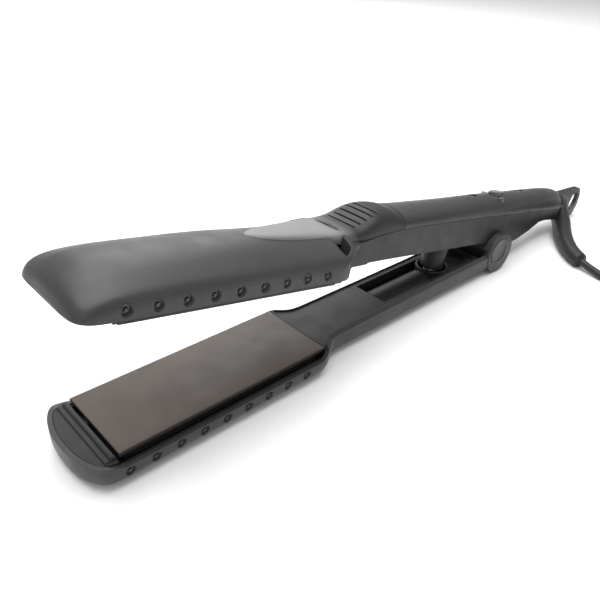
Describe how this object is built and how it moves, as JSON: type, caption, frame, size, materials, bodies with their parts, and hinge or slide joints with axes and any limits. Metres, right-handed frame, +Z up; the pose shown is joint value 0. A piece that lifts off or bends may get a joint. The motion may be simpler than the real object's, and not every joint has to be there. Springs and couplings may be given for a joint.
{
  "type": "flat iron",
  "caption": "Two hinged arms with wide heated plates at the tips, a sprung handle, push buttons and a swivelling cord with a hanging loop.",
  "frame": {"origin": "centre of the length and width of the iron without its cord, on the ground under the lower arm", "axes": "+X along the lower arm from the plates to the hinge and cord, +Y across the width, +Z up, with the lower arm lying flat"},
  "size_m": [0.5004, 0.1267, 0.0815],
  "materials": {
    "head_casing": "satin grey-black moulded plastic",
    "inner_casing": "satin dark grey moulded plastic",
    "handle_casing": "satin black moulded plastic",
    "thumb_casing": "semi-gloss grey plastic",
    "trim_plastic": "satin dark plastic",
    "plate_coating": "taupe ceramic and titanium coating on aluminium",
    "ceramic": "sintered white ceramic",
    "carrier_plastic": "glass-filled black plastic",
    "silicone": "red-brown silicone",
    "board": "green glass-epoxy laminate",
    "button_plastic": "gloss dark plastic",
    "window": "smoked translucent plastic",
    "spring_steel": "drawn wire",
    "steel": "zinc plated",
    "bush_metal": "turned",
    "wire": "silicone insulation",
    "swivel_plastic": "satin black moulded plastic",
    "cord_rubber": "soft matte black",
    "strap": "woven hook-and-loop strap",
    "plug_plastic": "matte black moulded plastic",
    "blade_metal": "nickel plated brass"
  },
  "bodies": {
    "upper_arm": {"upper_head_shell": "head_casing", "upper_frame": "inner_casing", "upper_vent_rings": "trim_plastic", "upper_cushions": "silicone", "thumb_rest": "thumb_casing", "handle_base": "inner_casing", "handle_cover": "handle_casing", "circuit_board": "board", "indicator_windows": "window", "spring_post": "inner_casing", "arm_spring": "spring_steel", "hinge_bushes": "bush_metal", "upper_leads": "wire", "upper_screws": "steel", "swivel_socket": "trim_plastic"},
    "lower_arm": {"lower_cover": "head_casing", "lower_frame": "inner_casing", "lower_vent_rings": "trim_plastic", "wire_cover": "thumb_casing", "spring_collar": "inner_casing", "lower_leads": "wire", "lower_screws": "steel", "lower_cushions": "silicone", "hinge_pin": "steel", "hinge_caps": "trim_plastic"},
    "upper_plate_float": {"upper_plate": "plate_coating", "upper_heater": "ceramic", "upper_carrier": "carrier_plastic"},
    "lower_plate_float": {"lower_plate": "plate_coating", "lower_heater": "ceramic", "lower_carrier": "carrier_plastic"},
    "power_button": {"power_button": "button_plastic"},
    "temperature_up_button": {"temperature_up_button": "button_plastic"},
    "temperature_down_button": {"temperature_down_button": "button_plastic"},
    "cord_swivel": {"swivel_shaft": "swivel_plastic", "swivel_retainer": "steel", "hanging_loop": "swivel_plastic", "strain_relief": "cord_rubber", "power_cord": "cord_rubber", "cord_coil": "cord_rubber", "cord_tie": "strap", "cord_tail": "cord_rubber", "plug_body": "plug_plastic", "plug_blades": "blade_metal"}
  },
  "joints": [
    {"name": "arm_hinge", "type": "hinge", "parent": "upper_arm", "child": "lower_arm", "pos_m": [0.06731, 0, 0.014], "axis": [0, 1, 0], "range_deg": [0, 11.9], "stiffness_Nm_per_rad": 2.5, "springref_deg": -14.32, "deforming": ["arm_spring"]},
    {"name": "upper_plate_float", "type": "slide", "parent": "upper_arm", "child": "upper_plate_float", "axis": [0.2096, 0, 0.9778], "range_m": [0, 0.0008], "stiffness_N_per_m": 3000, "springref_m": -0.0008},
    {"name": "lower_plate_float", "type": "slide", "parent": "lower_arm", "child": "lower_plate_float", "axis": [0, 0, -1], "range_m": [0, 0.0008], "stiffness_N_per_m": 3000, "springref_m": -0.0008},
    {"name": "power_button_press", "type": "slide", "parent": "upper_arm", "child": "power_button", "axis": [-0.2096, 0, -0.9778], "range_m": [0, 0.0005], "stiffness_N_per_m": 1500, "springref_m": -0.0004},
    {"name": "temperature_up_button_press", "type": "slide", "parent": "upper_arm", "child": "temperature_up_button", "axis": [-0.2096, 0, -0.9778], "range_m": [0, 0.0005], "stiffness_N_per_m": 1500, "springref_m": -0.0004},
    {"name": "temperature_down_button_press", "type": "slide", "parent": "upper_arm", "child": "temperature_down_button", "axis": [-0.2096, 0, -0.9778], "range_m": [0, 0.0005], "stiffness_N_per_m": 1500, "springref_m": -0.0004},
    {"name": "cord_swivel_turn", "type": "hinge", "parent": "upper_arm", "child": "cord_swivel", "pos_m": [0.15482, 0, 0.01672], "axis": [0.9778, 0, -0.2096], "continuous": true}
  ]
}
